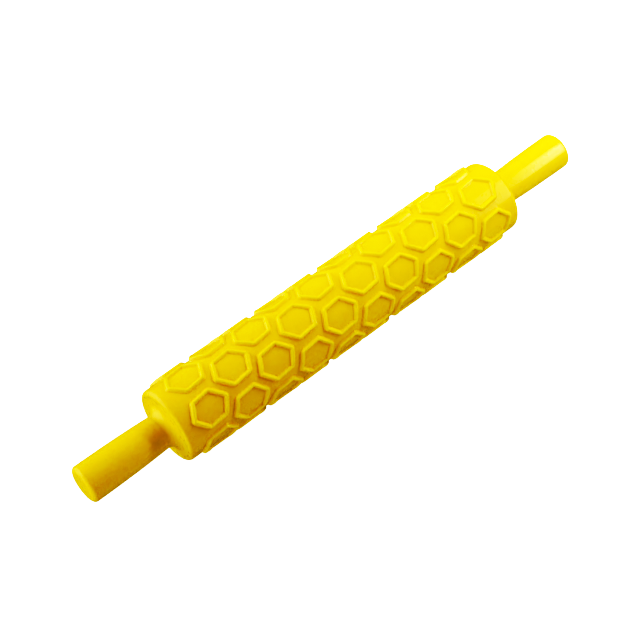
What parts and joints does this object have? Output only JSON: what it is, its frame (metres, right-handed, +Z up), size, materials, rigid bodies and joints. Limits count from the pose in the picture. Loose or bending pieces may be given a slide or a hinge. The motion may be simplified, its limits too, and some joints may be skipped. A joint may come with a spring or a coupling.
{
  "type": "embossed rolling pin",
  "caption": "Hollow plastic rolling pin with a raised honeycomb pattern on a barrel that turns on a spindle between two fixed grips.",
  "frame": {"origin": "on the pin's axis, midway between the handle tips", "axes": "+X along the pin from the left handle to the right one, +Z up, +Y to the back"},
  "size_m": [0.3382, 0.046, 0.046],
  "materials": {
    "barrel_plastic": "satin yellow polyethylene",
    "plug_plastic": "satin yellow polyethylene",
    "handle_plastic": "satin yellow polyethylene",
    "bush_plastic": "natural nylon",
    "spindle_steel": "drawn stainless steel",
    "washer_steel": "stamped stainless steel",
    "insert_brass": "turned brass"
  },
  "bodies": {
    "handles_and_spindle": {"spindle": "spindle_steel", "left_thrust_washer": "washer_steel", "right_thrust_washer": "washer_steel", "left_threaded_insert": "insert_brass", "right_threaded_insert": "insert_brass", "left_handle": "handle_plastic", "right_handle": "handle_plastic"},
    "barrel": {"embossed_barrel": "barrel_plastic", "left_end_plug": "plug_plastic", "right_end_plug": "plug_plastic", "left_bush": "bush_plastic", "right_bush": "bush_plastic"}
  },
  "joints": [
    {"name": "barrel_turn", "type": "hinge", "parent": "handles_and_spindle", "child": "barrel", "pos_m": [0, 0, 0], "axis": [1, 0, 0], "continuous": true}
  ]
}
